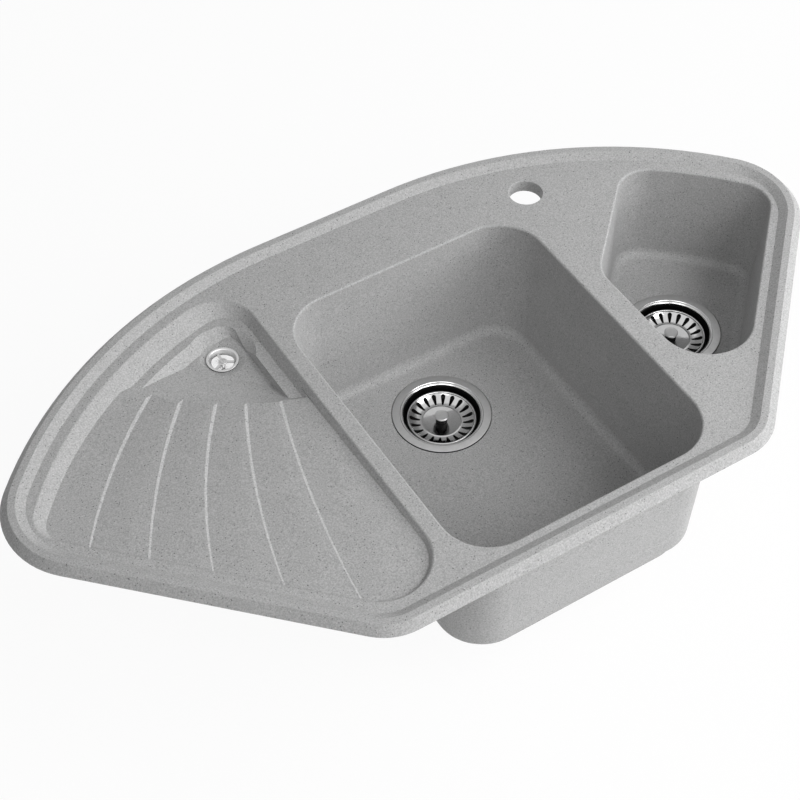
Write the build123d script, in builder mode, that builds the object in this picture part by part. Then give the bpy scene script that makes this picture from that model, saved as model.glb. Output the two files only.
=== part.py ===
from build123d import *
import os
from math import atan, degrees, radians, sin, sqrt, tan

os.makedirs("parts", exist_ok=True)

# Corner kitchen sink with a main bowl, a side bowl and a fluted drainer with an overflow pocket.
# Millimetres. The origin is the axis of the tap hole on the worktop plane, X runs along the front
# edge, Y to the back, Z up. Levels are heights over the worktop.

# ---- Plan of the sink ----
FRONT_Y = -428.5  # front edge
BACK_Y = 88.2  # back edge, in the corner of the room
MID_X = -217.6  # mirror line of the plan
BACK_FLAT = 83.9  # half length of the straight back edge
BACK_R = 495.0  # swept edges beside it
BACK_SWEEP = 48.6
NOSE_R = 87.5  # rounded left and right ends
SIDE_ANGLE = 45.0  # of the side edges to the front edge
CORNER_R = 62.0  # front corners

# ---- Rim and deck ----
RIM_H = 9.5
RIM_SLOPE_W = 8.2  # outer slope, seen in plan
RIM_TOP_W = 7.7
RIM_FALL_W = 9.5  # inner slope down to the deck
DECK_Z = 3.5
SEAT_W = 16.0  # band that lies on the worktop
SLAB_Z = -6.0  # underside of the deck inside the cut-out
SLAB_TAPER = 35.0  # slope of its edge, from upright
RIM_EDGE_R = 1.0

# ---- Bowls, common ----
DRAFT = 2.5
WALL_T = 10.0
MOUTH_R = 2.5  # rounded edge where a bowl meets the deck
FLOOR_T = 10.0  # floor under the bowls, beside the pad
FLOOR_REACH = 330.0  # distance from the drain at which the floor reaches its full height
FOOT_R = 12.0  # rounding between wall and floor
SHELL_R = 10.0  # rounded lower edge of the outside

# ---- Main bowl ----
MAIN_X = -182.2
MAIN_Y = -206.8
MAIN_LX = 302.2
MAIN_LY = 373.6
MAIN_R = 52.0
MAIN_FLOOR_Z = -155.0  # floor far from the drain
MAIN_DRAIN = (-178.8, -108.8)
MAIN_DRAIN_Z = -160.0  # flange top
MAIN_CORNER_GAIN = 0.4  # growth of the corner radius for each mm of wall

# ---- Side bowl ----
SIDE_GAP = 30.1  # deck between the main bowl and the side bowl
SIDE_RIGHT_C = 382.7  # right side is the line y = x - SIDE_RIGHT_C
SIDE_BACK_C = 142.5  # back left side is the line x - y = SIDE_BACK_C
SIDE_SWEEP_IN = 38.5  # back right side runs this far inside the sink edge
SIDE_FRONT_R = 52.5
SIDE_LEFT_R = 40.0
SIDE_BACK_R = 38.0
SIDE_RIGHT_R = 35.0
SIDE_FLOOR_Z = -120.0
SIDE_DRAIN = (96.8, -167.0)
SIDE_DRAIN_Z = -126.0  # flange top

# ---- Drain openings in the bowls ----
DRAIN_R = 46.5
DRAIN_SEAT_R = 57.0  # recess that takes the gasket
FLANGE_STAND = 1.3  # flange top over the bowl floor
PAD_IN = 6.4  # pad under each bowl, inward of the outer wall
WASTE_GRIP = 14.5  # underside of the pad, below the flange top

# ---- Drainer tray ----
TRAY_BACK_IN = 36.5  # left back side, inside the sink edge
TRAY_FRONT_C = 817.3  # front left side is the line x + y = -TRAY_FRONT_C
TRAY_GAP = 18.7  # deck between the tray and the main bowl
TRAY_NOSE_R = 33.0
TRAY_BACK_R = 44.0
TRAY_FRONT_R = 52.0
TRAY_BACK_SLOPE = 1.5  # width of the wall for each mm of depth
TRAY_FRONT_SLOPE = 0.5
TRAY_RIGHT_SLOPE = 0.64
TRAY_T = 9.0  # thickness under the tray
TRAY_SKIN_OUT = 0.65  # of that thickness, how far the wall round the tray reaches out
TRAY_JOIN = 7.0  # how far the tray piece runs under the deck, round its mouth
DRAINER_FRONT_Z = -1.5  # fluted floor at its front end
DRAINER_FALL = 0.011  # fall towards the back, per mm
LEDGE_Z = -9.0  # step round the pocket
LEDGE_W = 10.0
LEDGE_RIGHT_W = 13.0
POCKET_Z = -19.0
POCKET_BACK_SLOPE = 1.2
POCKET_RIGHT_SLOPE = 0.2
CREST = (-244.2, 221.0)  # centre of the curved crest between drainer and pocket
CREST_R = 364.5
SLOPE_FOOT = (-124.5, 229.0)  # centre of the curve at the foot of the slope behind it
SLOPE_FOOT_R = 400.0

# ---- Flutes of the drainer: back end, front end (x, y) and radius of the curve between ----
FLUTES = (
    ((-505.5, -45.2), (-633.0, -183.5), 661.7),
    ((-480.1, -70.3), (-590.0, -225.5), 775.5),
    ((-451.0, -94.2), (-544.0, -268.5), 643.8),
    ((-422.2, -110.6), (-495.0, -318.5), 891.9),
    ((-389.0, -128.4), (-442.0, -370.5), 1195.0),
)
FLUTE_BACK_W = 30.0
FLUTE_FRONT_W = 36.0
FLUTE_BACK_D = 2.2
FLUTE_FRONT_D = 1.2
FLUTE_WALL = 1.5  # lean of the steep side, width for each mm of depth
FLUTE_OVER = 1.0  # cutter height over the drainer floor
FLUTE_RUN = 26.0  # run past the crest

# ---- Tap hole ----
TAP_R = 19.0
TAP_EDGE_R = 1.0
TAP_BOSS_R = 29.0
TAP_BOSS_Z = -11.5

# ---- Overflow in the pocket ----
OVERFLOW = (-401.5, -23.0)
OVERFLOW_R = 14.2
DISH_R = 24.0
DISH_SEAT_R = 18.2
DISH_D = 1.6

# ---- Strainer waste, levels under the top of its flange ----
SHEET = 0.8
FLANGE_R = 56.0
FLANGE_FLAT_R = 47.5
CUP_R = 43.5
CUP_BASE_R = 41.5
CUP_DEPTH = 20.0
CUP_BEND_R = 4.0
CUP_SHOULDER_Z = 3.2
CUP_SHOULDER_R = 1.6
SCREW_DIMPLE_R = 7.2
SCREW_DIMPLE_D = 2.6
OUTLET_HOLES = 6
OUTLET_HOLE_R = 3.8
OUTLET_RING_R = 13.0
GASKET_R = 56.0
GASKET_T = 1.8
GASKET_IN_R = 48.5
LOWER_GASKET_R = 54.0
LOWER_GASKET_T = 2.0

BASKET_RIM_R = 39.5
BASKET_RIM_Z = 7.0
BASKET_BEAD_R = 1.0
BASKET_WALL_Z = 8.6
BASKET_SAG = 1.6  # hollow of the slotted wall
BASKET_DISC_R = 23.4
BASKET_DISC_Z = 14.0
BASKET_T = 0.7
SLOTS = 20
SLOT_IN_R = 24.6
SLOT_OUT_R = 36.6
SLOT_IN_W = 2.0
SLOT_OUT_W = 5.0

KNOB_R = 7.7
KNOB_Z = 3.5
KNOB_H = 2.2
KNOB_EDGE_R = 0.6
KNOB_PIN_R = 2.4
KNOB_PIN_H = 3.0
STEM_R = 6.0
STEM_SHANK_R = 3.4
STEM_HEAD_R = 9.0
STEM_HEAD_H = 1.6
SEAL_R = 22.0
SEAL_LIP_R = 18.2
SEAL_PLATE_T = 2.4
SEAL_REST = 0.1  # gap over the cup floor

SCREW_R = 3.0
SCREW_FREE = 0.25  # clearance round a screw
SCREW_TIP_C = 0.6
SCREW_HEAD_R = 6.0
SCREW_HEAD_H = 2.2
SCREW_TIP_Z = 46.0
SCREW_SLOT_W = 1.4
SCREW_SLOT_D = 1.2
NUT_FLATS = 10.0
NUT_H = 6.0
NUT_Z = 34.0
NUT_FREE = 0.05

BODY_FLANGE_R = 54.0
BODY_FLANGE_T = 4.0
BODY_IN_R = 46.0
BODY_CONE_Z = 26.0
OUTLET_R = 23.9
OUTLET_IN_R = 20.4
OUTLET_TOP_Z = 46.0
OUTLET_L = 20.0
HUB_R = 9.0
HUB_BASE_Z = 42.0
RIBS = 4
RIB_T = 3.0

# ---- Overflow fitting, levels under the pocket floor ----
ROSETTE_R = 17.4
ROSETTE_IN_R = 13.4
ROSETTE_T = 1.6
ROSETTE_EDGE_R = 0.5
ROSETTE_WALL_R = 11.6  # foot of its inner wall
ROSETTE_WALL_T = 1.0
ROSETTE_DEPTH = 4.6
ROSETTE_HUB_R = 4.4
ROSETTE_SPOKE_T = 1.4
SPOKES = 3
SPOKE_W = 2.8
SPOKE_TURN = -32.0  # direction of the first spoke
OVER_SCREW_HEAD_R = 3.3
OVER_SCREW_HEAD_H = 1.2
OVER_SCREW_R = 2.0
OVER_SCREW_L = 20.0
OVER_SLOT_W = 0.9
OVER_SLOT_L = 4.6
OVER_SLOT_D = 0.7
OVER_GASKET_T = 2.0
OVER_FLANGE_R = 26.0
OVER_FLANGE_T = 3.0
OVER_COLLAR_R = 17.5  # bore of the collar under the pocket
OVER_COLLAR_H = 12.0
OVER_WALL_T = 2.2
OVER_BORE_R = 10.0
OVER_SPIGOT_H = 22.0
OVER_CONE_H = 6.0
OVER_HUB_R = 4.2
OVER_HUB_H = 8.0
OVER_ARM_H = 3.0

SIDE_LEFT_X = MAIN_X + MAIN_LX / 2 + SIDE_GAP
TRAY_RIGHT_X = MAIN_X - MAIN_LX / 2 - TRAY_GAP
BACK_CX = MID_X + BACK_FLAT
BACK_CY = BACK_Y - BACK_R

UP = (Align.CENTER, Align.CENTER, Align.MIN)
DOWN = (Align.CENTER, Align.CENTER, Align.MAX)


def taper(width, height):
    """Angle of a slope from its width in plan and its height."""
    return degrees(atan(width / height))


def upright(x, y, z):
    """Upright plane through a vertical axis; its own Y runs up from level z."""
    return Plane((x, y, z), x_dir=(1, 0, 0), z_dir=(0, -1, 0))


# ---- Moulding: plans ----
def sink_plan(inset):
    """Outline of the sink, moved inward."""
    with BuildSketch() as plan:
        with BuildLine():
            swept = JernArc((MID_X - BACK_FLAT, BACK_Y), (-1, 0), BACK_R, BACK_SWEEP)
            nose = JernArc(swept @ 1, swept % 1, NOSE_R, 180 - SIDE_ANGLE - BACK_SWEEP)
            drop = ((nose @ 1).Y - FRONT_Y) / sin(radians(SIDE_ANGLE))
            side = Line(nose @ 1, nose @ 1 + (nose % 1) * drop)
            mirror(about=Plane.YZ.offset(MID_X))
            Line(side @ 1, (2 * MID_X - (side @ 1).X, FRONT_Y))
            Line((BACK_CX, BACK_Y), (MID_X - BACK_FLAT, BACK_Y))
        make_face()
        fillet(plan.vertices().group_by(Axis.Y)[0], CORNER_R)
        if inset:
            offset(amount=-inset)
    return plan.sketch


def main_plan(grow):
    """Mouth of the main bowl, moved outward."""
    with BuildSketch() as plan:
        with Locations((MAIN_X, MAIN_Y)):
            RectangleRounded(
                MAIN_LX + 2 * grow,
                MAIN_LY + 2 * grow,
                MAIN_R + MAIN_CORNER_GAIN * grow,
            )
    return plan.sketch


def side_plan(grow):
    """Mouth of the side bowl, moved outward."""
    sweep_r = BACK_R - SIDE_SWEEP_IN
    front = (SIDE_LEFT_X, SIDE_LEFT_X - SIDE_RIGHT_C)
    left = (SIDE_LEFT_X, SIDE_LEFT_X - SIDE_BACK_C)
    right = on_sweep(sweep_r, SIDE_RIGHT_C)
    back = on_sweep(sweep_r, SIDE_BACK_C)
    with BuildSketch() as plan:
        with BuildLine():
            Polyline(back, left, front, right)
            RadiusArc(right, back, -sweep_r)
        make_face()
        fillet(plan.vertices().sort_by(Axis.Y)[0], SIDE_FRONT_R)
        fillet(plan.vertices().sort_by(Axis.X)[-1], SIDE_RIGHT_R)
        fillet(plan.vertices().sort_by(Axis.Y)[-1], SIDE_BACK_R)
        corner = plan.vertices().sort_by_distance((*left, 0))[0]
        fillet(corner, SIDE_LEFT_R)
        if grow:
            offset(amount=grow)
    return plan.sketch


def on_sweep(radius, offset_c):
    """Point where the line y = x - offset_c meets the swept curve on the right."""
    lift = BACK_CX - BACK_CY - offset_c
    x = BACK_CX + (sqrt(2 * radius**2 - lift**2) - lift) / 2
    return (x, x - offset_c)


def tray_plan(back_in, right_in, front_in):
    """Mouth of the drainer tray, each side moved inward by its own amount."""
    turn = (back_in + front_in) / 2
    front = (sqrt(2) * front_in - TRAY_FRONT_C) / 2
    with BuildSketch() as plan:
        with Locations((2 * MID_X - BACK_CX, BACK_CY)):
            Circle(BACK_R - TRAY_BACK_IN - back_in)
        with Locations((TRAY_RIGHT_X - right_in, BACK_CY)):
            Rectangle(BACK_R, 4 * BACK_R, align=(Align.MAX, Align.CENTER), mode=Mode.INTERSECT)
        with Locations((front, front)):
            Rectangle(
                4 * BACK_R,
                2 * BACK_R,
                rotation=-SIDE_ANGLE,
                align=(Align.CENTER, Align.MIN),
                mode=Mode.INTERSECT,
            )
        fillet(plan.vertices().sort_by(Axis.X)[0], TRAY_NOSE_R - turn)
        fillet(plan.vertices().sort_by(Axis.Y)[-1], TRAY_BACK_R - (back_in + right_in) / 2)
        fillet(plan.vertices().sort_by(Axis.Y)[0], TRAY_FRONT_R - (front_in + right_in) / 2)
    return plan.sketch


# ---- Moulding: solids ----
def bowl_shell(plan, base_z, pad_z):
    """Outside of a bowl, from the deck to the underside of its floor, and the pad below."""
    drop = (DECK_Z - base_z) * tan(radians(DRAFT))
    with BuildPart() as shell:
        with BuildSketch(Plane.XY.offset(DECK_Z)):
            add(plan(WALL_T))
        extrude(amount=base_z - DECK_Z, taper=DRAFT)
        fillet(shell.faces().sort_by(Axis.Z)[0].edges(), SHELL_R)
        with BuildSketch(Plane.XY.offset(base_z + FLOOR_T / 2)):
            add(plan(WALL_T - drop - PAD_IN))
        extrude(amount=pad_z - base_z - FLOOR_T / 2, taper=DRAFT)
    return shell.part


def bowl_space(plan, floor_z, drain, drain_z):
    """Inside of a bowl, its floor falling from all sides to the drain."""
    with BuildPart() as space:
        with BuildSketch(Plane.XY.offset(DECK_Z)):
            add(plan(0))
        extrude(amount=drain_z - WALL_T - DECK_Z, taper=DRAFT)
        with BuildSketch(upright(*drain, 0)):
            with BuildLine():
                Polyline(
                    (0, drain_z),
                    (DRAIN_SEAT_R, drain_z),
                    (FLOOR_REACH, floor_z),
                    (FLOOR_REACH, drain_z - 2 * WALL_T),
                    (0, drain_z - 2 * WALL_T),
                    close=True,
                )
            make_face()
        revolve(axis=Axis((*drain, 0), (0, 0, 1)), mode=Mode.SUBTRACT)
        floor = space.faces().filter_by(GeomType.CONE).sort_by(SortBy.AREA)[-1]
        fillet(floor.outer_wire().edges(), FOOT_R)
    return space.part


def drainer_block(skin):
    """What stands under the fluted floor, up to the curved slope behind its crest."""
    front_z = DRAINER_FRONT_Z - skin
    pocket_z = POCKET_Z - skin
    back_z = front_z - DRAINER_FALL * (BACK_Y - FRONT_Y)
    crest_z = front_z - DRAINER_FALL * (CREST[1] - CREST_R / sqrt(2) - FRONT_Y)
    more = (DECK_Z - crest_z) / (crest_z - pocket_z)
    with BuildPart() as block:
        with BuildSketch(Plane.YZ.offset(TRAY_RIGHT_X)):
            with BuildLine():
                Polyline(
                    (FRONT_Y, front_z),
                    (FRONT_Y, pocket_z - TRAY_T),
                    (BACK_Y, pocket_z - TRAY_T),
                    (BACK_Y, back_z),
                    close=True,
                )
            make_face()
        extrude(amount=BACK_R, both=True)
        with BuildSketch(Plane.XY.offset(pocket_z)):
            with Locations(SLOPE_FOOT):
                Circle(SLOPE_FOOT_R)
        extrude(amount=-2 * TRAY_T, mode=Mode.SUBTRACT)
        with BuildSketch(Plane.XY.offset(pocket_z)):
            with Locations(SLOPE_FOOT):
                Circle(SLOPE_FOOT_R)
        with BuildSketch(Plane.XY.offset(DECK_Z)):
            with Locations(Vector(CREST) + (Vector(CREST) - Vector(SLOPE_FOOT)) * more):
                Circle(CREST_R + (CREST_R - SLOPE_FOOT_R) * more)
        loft(ruled=True, mode=Mode.SUBTRACT)
    return block.part


def tray_form(skin):
    """Space of the drainer and its pocket; with a skin, the body that wraps it."""
    grow = skin * TRAY_SKIN_OUT
    wall = DECK_Z - LEDGE_Z
    step = LEDGE_Z - POCKET_Z
    mouth = (-grow, -grow, -grow)
    foot = (
        wall * TRAY_BACK_SLOPE - grow,
        wall * TRAY_RIGHT_SLOPE - grow,
        wall * TRAY_FRONT_SLOPE - grow,
    )
    ledge = (foot[0] + LEDGE_W, foot[1] + LEDGE_RIGHT_W, foot[2] + LEDGE_W)
    floor = (
        ledge[0] + step * POCKET_BACK_SLOPE,
        ledge[1] + step * POCKET_RIGHT_SLOPE,
        ledge[2] + step * POCKET_RIGHT_SLOPE,
    )
    with BuildPart() as form:
        for level, inset in ((DECK_Z, mouth), (LEDGE_Z, foot)):
            with BuildSketch(Plane.XY.offset(level - skin)):
                add(tray_plan(*inset))
        loft(ruled=True)
        for level, inset in ((LEDGE_Z, ledge), (POCKET_Z, floor)):
            with BuildSketch(Plane.XY.offset(level - skin)):
                add(tray_plan(*inset))
        loft(ruled=True)
        add(drainer_block(skin), mode=Mode.SUBTRACT)
    return form.part


def flute(back, front, radius):
    """One flute: steep on the left, rising gently to the right, narrower to the front."""
    floor = Plane((0, FRONT_Y, DRAINER_FRONT_Z), x_dir=(1, 0, 0), z_dir=(0, DRAINER_FALL, 1))
    start = (back[0], back[1] - FRONT_Y)
    stop = (front[0], front[1] - FRONT_Y)
    with BuildLine(floor) as path:
        curve = RadiusArc(start, stop, -radius)
        Line(curve @ 0 - (curve % 0) * FLUTE_RUN, curve @ 0)
    with BuildPart() as groove:
        for end, width, depth in (
            (0, FLUTE_BACK_W, FLUTE_BACK_D),
            (1, FLUTE_FRONT_W, FLUTE_FRONT_D),
        ):
            wire = path.wire()
            along = wire % end
            with BuildSketch(Plane(wire @ end, x_dir=floor.z_dir.cross(along), z_dir=along)):
                with BuildLine():
                    Polyline(
                        (-FLUTE_WALL * FLUTE_OVER, FLUTE_OVER),
                        (FLUTE_WALL * depth, -depth),
                        (width * (1 + FLUTE_OVER / depth), FLUTE_OVER),
                        close=True,
                    )
                make_face()
        sweep(path=path.wire(), multisection=True)
    return groove.part


def flutes():
    """All flutes, kept inside the walls of the tray."""
    foot = DECK_Z - DRAINER_FRONT_Z
    with BuildPart() as cut:
        for back, front, radius in FLUTES:
            add(flute(back, front, radius))
        with BuildSketch(Plane.XY.offset(DECK_Z)):
            add(tray_plan(foot * TRAY_BACK_SLOPE, foot * TRAY_RIGHT_SLOPE, foot * TRAY_FRONT_SLOPE))
        extrude(amount=POCKET_Z - DECK_Z, mode=Mode.INTERSECT)
    return cut.part


def overflow_dish():
    """Shallow dish round the overflow hole, with the flat seat of the rosette."""
    slope = (DISH_R - DISH_SEAT_R) / DISH_D
    rise = LEDGE_Z - POCKET_Z
    with BuildPart() as dish:
        with BuildSketch(upright(*OVERFLOW, POCKET_Z)):
            with BuildLine():
                Polyline(
                    (0, -DISH_D),
                    (DISH_SEAT_R, -DISH_D),
                    (DISH_R, 0),
                    (DISH_R + rise * POCKET_BACK_SLOPE, rise),
                    (0, rise),
                    close=True,
                )
            make_face()
        revolve(axis=Axis((*OVERFLOW, 0), (0, 0, 1)))
    return dish.part


# ---- The moulding, whole ----
bowls = (
    (main_plan, MAIN_FLOOR_Z, MAIN_DRAIN, MAIN_DRAIN_Z),
    (side_plan, SIDE_FLOOR_Z, SIDE_DRAIN, SIDE_DRAIN_Z),
)
with BuildPart() as moulding:
    with BuildSketch():
        add(sink_plan(0))
    extrude(amount=RIM_H, taper=taper(RIM_SLOPE_W, RIM_H))
    with BuildSketch():
        add(sink_plan(SEAT_W))
    extrude(amount=SLAB_Z, taper=SLAB_TAPER)
    with BuildSketch(Plane.XY.offset(RIM_H)):
        add(sink_plan(RIM_SLOPE_W + RIM_TOP_W))
    extrude(amount=DECK_Z - RIM_H, taper=taper(RIM_FALL_W, RIM_H - DECK_Z), mode=Mode.SUBTRACT)
    fillet(moulding.faces().filter_by(Plane.XY).sort_by(Axis.Z)[-1].edges(), RIM_EDGE_R)
    for plan, floor_z, _, drain_z in bowls:
        add(bowl_shell(plan, floor_z - FLOOR_T, drain_z - WASTE_GRIP))
    add(tray_form(TRAY_T))
    with Locations((0, 0, DECK_Z)):
        Cylinder(TAP_BOSS_R, DECK_Z - TAP_BOSS_Z, align=DOWN)
    for plan, floor_z, drain, drain_z in bowls:
        add(bowl_space(plan, floor_z, drain, drain_z - FLANGE_STAND), mode=Mode.SUBTRACT)
    add(tray_form(0), mode=Mode.SUBTRACT)
    deck = moulding.faces().filter_by(Plane.XY).filter_by_position(Axis.Z, DECK_Z, DECK_Z)[0]
    fillet(deck.inner_wires().edges(), MOUTH_R)
    add(flutes(), mode=Mode.SUBTRACT)
    add(overflow_dish(), mode=Mode.SUBTRACT)
    for *_, drain, drain_z in bowls:
        with Locations((*drain, drain_z - SHEET - GASKET_T)):
            Cylinder(DRAIN_SEAT_R, WALL_T, align=UP, mode=Mode.SUBTRACT)
            Cylinder(DRAIN_R, 4 * WALL_T, mode=Mode.SUBTRACT)
    with Locations((*OVERFLOW, POCKET_Z)):
        Cylinder(OVERFLOW_R, 4 * TRAY_T, mode=Mode.SUBTRACT)
    Cylinder(TAP_R, 4 * TAP_BOSS_R, mode=Mode.SUBTRACT)
    tap_edge = moulding.edges().filter_by(GeomType.CIRCLE).filter_by_position(Axis.Z, DECK_Z, DECK_Z)
    fillet(tap_edge.sort_by_distance((0, 0, DECK_Z))[0], TAP_EDGE_R)


# ---- The moulding is kept as four touching pieces: the deck, the tray and the two bowls ----
def below(outline, level):
    """Space under a level, inside an outline."""
    with BuildPart() as space:
        with BuildSketch(Plane.XY.offset(level)):
            add(outline)
        extrude(amount=MAIN_DRAIN_Z - 2 * WALL_T - level)
    return space.part


under_deck = {
    "main_bowl_shell": below(main_plan(WALL_T), SLAB_Z),
    "side_bowl_shell": below(side_plan(WALL_T), SLAB_Z),
    "drainer_tray": below(tray_plan(-TRAY_JOIN, -TRAY_JOIN, -TRAY_JOIN), DRAINER_FRONT_Z),
}
with BuildPart() as sink_body:
    add(moulding.part)
    for space in under_deck.values():
        add(space, mode=Mode.SUBTRACT)
sink_body.part.label = "sink_body"
export_step(sink_body.part, "parts/sink_body.step")

for name, space in under_deck.items():
    with BuildPart() as piece:
        add(moulding.part)
        add(space, mode=Mode.INTERSECT)
    piece.part.label = name
    export_step(piece.part, f"parts/{name}.step")


# ---- Strainer waste: each piece drawn once round the Z axis, flange top at level 0 ----
def strainer_cup():
    """Pressed steel cup with its flange, outlet holes and the dimple for the screw."""
    with BuildPart() as cup:
        with BuildSketch(Plane.XZ):
            with BuildLine():
                FilletPolyline(
                    (FLANGE_R, 0),
                    (FLANGE_FLAT_R, 0),
                    (CUP_R, -CUP_SHOULDER_Z),
                    (CUP_BASE_R, -CUP_DEPTH),
                    (SCREW_DIMPLE_R, -CUP_DEPTH),
                    radius=(CUP_SHOULDER_R, CUP_SHOULDER_R, CUP_BEND_R),
                )
                offset(amount=SHEET, side=Side.LEFT)
            make_face()
            with Locations((0, -CUP_DEPTH - SCREW_DIMPLE_D - SHEET)):
                Rectangle(SCREW_DIMPLE_R + SHEET, SHEET, align=(Align.MIN, Align.MIN))
            with Locations((SCREW_DIMPLE_R, -CUP_DEPTH)):
                Rectangle(SHEET, SCREW_DIMPLE_D + SHEET, align=(Align.MIN, Align.MAX))
            with Locations((0, -CUP_DEPTH)):
                Rectangle(
                    SCREW_R + SCREW_FREE,
                    2 * CUP_DEPTH,
                    align=(Align.MIN, Align.CENTER),
                    mode=Mode.SUBTRACT,
                )
        revolve()
        with PolarLocations(OUTLET_RING_R, OUTLET_HOLES):
            Cylinder(OUTLET_HOLE_R, 4 * CUP_DEPTH, mode=Mode.SUBTRACT)
    return cup.part


def flange_gasket():
    """Flat gasket between the flange and the bowl floor."""
    with BuildPart() as gasket:
        with BuildSketch(Plane.XY.offset(-SHEET)):
            Circle(GASKET_R)
            Circle(GASKET_IN_R, mode=Mode.SUBTRACT)
        extrude(amount=-GASKET_T)
    return gasket.part


def lower_gasket():
    """Gasket between the pad under the bowl and the waste body."""
    with BuildPart() as gasket:
        with BuildSketch(Plane.XY.offset(-WASTE_GRIP)):
            Circle(LOWER_GASKET_R)
            Circle(BODY_IN_R, mode=Mode.SUBTRACT)
        extrude(amount=-LOWER_GASKET_T)
    return gasket.part


def waste_funnel(skin):
    """Funnel from the gasket to the end of the outlet; skin is its wall."""
    top = -WASTE_GRIP - LOWER_GASKET_T
    with BuildPart() as funnel:
        with BuildSketch(Plane.XZ):
            with BuildLine():
                Polyline(
                    (0, top),
                    (BODY_IN_R + skin, top),
                    (BODY_IN_R + skin, -BODY_CONE_Z),
                    (OUTLET_IN_R + skin, -OUTLET_TOP_Z),
                    (OUTLET_IN_R + skin, -OUTLET_TOP_Z - OUTLET_L),
                    (0, -OUTLET_TOP_Z - OUTLET_L),
                    close=True,
                )
            make_face()
        revolve()
    return funnel.part


def waste_hollow():
    """Water way of the waste body: the funnel less its ribs and the hub in its middle."""
    hub_top = -CUP_DEPTH - SCREW_DIMPLE_D - SHEET
    with BuildPart() as hollow:
        add(waste_funnel(0))
        with Locations((0, 0, hub_top)):
            Cylinder(
                HUB_R,
                HUB_BASE_Z + hub_top,
                align=DOWN,
                mode=Mode.SUBTRACT,
            )
        with PolarLocations(0, RIBS):
            with Locations((0, 0, -BODY_CONE_Z)):
                Box(
                    BODY_IN_R,
                    RIB_T,
                    HUB_BASE_Z - BODY_CONE_Z,
                    align=(Align.MIN, Align.CENTER, Align.MAX),
                    mode=Mode.SUBTRACT,
                )
    return hollow.part


def waste_body():
    """Plastic funnel with the threaded outlet and the hub that holds the nut."""
    with BuildPart() as body:
        add(waste_funnel(OUTLET_R - OUTLET_IN_R))
        with BuildSketch(Plane.XY.offset(-WASTE_GRIP - LOWER_GASKET_T)):
            Circle(BODY_FLANGE_R)
        extrude(amount=-BODY_FLANGE_T)
        add(waste_hollow(), mode=Mode.SUBTRACT)
        Cylinder(SCREW_R + SCREW_FREE, 4 * OUTLET_TOP_Z, mode=Mode.SUBTRACT)
        with BuildSketch(Plane.XY.offset(-NUT_Z)):
            RegularPolygon(NUT_FLATS / 2 + NUT_FREE, 6, major_radius=False)
        extrude(amount=NUT_Z - HUB_BASE_Z, mode=Mode.SUBTRACT)
    return body.part


def fixing_nut():
    """Hexagon nut in the hub of the waste body."""
    with BuildPart() as nut:
        with BuildSketch(Plane.XY.offset(-NUT_Z)):
            RegularPolygon(NUT_FLATS / 2, 6, major_radius=False)
            Circle(SCREW_R, mode=Mode.SUBTRACT)
        extrude(amount=-NUT_H)
    return nut.part


def fixing_screw():
    """Screw from the dimple of the cup down into the nut, with a coin slot."""
    seat = -CUP_DEPTH - SCREW_DIMPLE_D
    with BuildPart() as screw:
        with Locations((0, 0, seat)):
            Cylinder(SCREW_HEAD_R, SCREW_HEAD_H, align=UP)
            Cylinder(SCREW_R, SCREW_TIP_Z + seat, align=DOWN)
        with Locations((0, 0, seat + SCREW_HEAD_H)):
            Box(2 * SCREW_HEAD_R, SCREW_SLOT_W, SCREW_SLOT_D, align=DOWN, mode=Mode.SUBTRACT)
        chamfer(screw.faces().sort_by(Axis.Z)[0].edges(), SCREW_TIP_C)
    return screw.part


# ---- Strainer basket ----
def basket():
    """Pressed steel basket: rolled rim, slotted wall and polished disc."""
    wall_r = BASKET_RIM_R - BASKET_BEAD_R
    with BuildPart() as dish:
        with BuildSketch(Plane.XZ):
            with BuildLine():
                rim = Line((wall_r, -BASKET_WALL_Z), (wall_r, -BASKET_WALL_Z - BASKET_T))
                low = SagittaArc(rim @ 1, (BASKET_DISC_R, -BASKET_DISC_Z - BASKET_T), -BASKET_SAG)
                base = Line(low @ 1, (STEM_SHANK_R, -BASKET_DISC_Z - BASKET_T))
                hole = Line(base @ 1, (STEM_SHANK_R, -BASKET_DISC_Z))
                disc = Line(hole @ 1, (BASKET_DISC_R, -BASKET_DISC_Z))
                SagittaArc(disc @ 1, rim @ 0, BASKET_SAG)
            make_face()
            with Locations((wall_r, -BASKET_RIM_Z - BASKET_BEAD_R)):
                Circle(BASKET_BEAD_R)
        revolve()
        with BuildSketch():
            with PolarLocations((SLOT_IN_R + SLOT_OUT_R) / 2, SLOTS):
                Trapezoid(
                    SLOT_OUT_W,
                    SLOT_OUT_R - SLOT_IN_R,
                    degrees(atan(2 * (SLOT_OUT_R - SLOT_IN_R) / (SLOT_OUT_W - SLOT_IN_W))),
                    rotation=90,
                )
        extrude(amount=-2 * BASKET_DISC_Z, mode=Mode.SUBTRACT)
    return dish.part


def basket_seal():
    """Rubber ring under the disc; its lip closes the outlet when the basket is down."""
    top = -BASKET_DISC_Z - BASKET_T
    with BuildPart() as seal:
        with BuildSketch(Plane.XZ):
            with Locations((STEM_SHANK_R, top)):
                Rectangle(SEAL_R - STEM_SHANK_R, SEAL_PLATE_T, align=(Align.MIN, Align.MAX))
            with Locations((SEAL_LIP_R, top)):
                Rectangle(
                    SEAL_R - SEAL_LIP_R,
                    CUP_DEPTH - SEAL_REST + top,
                    align=(Align.MIN, Align.MAX),
                )
        revolve()
    return seal.part


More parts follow.
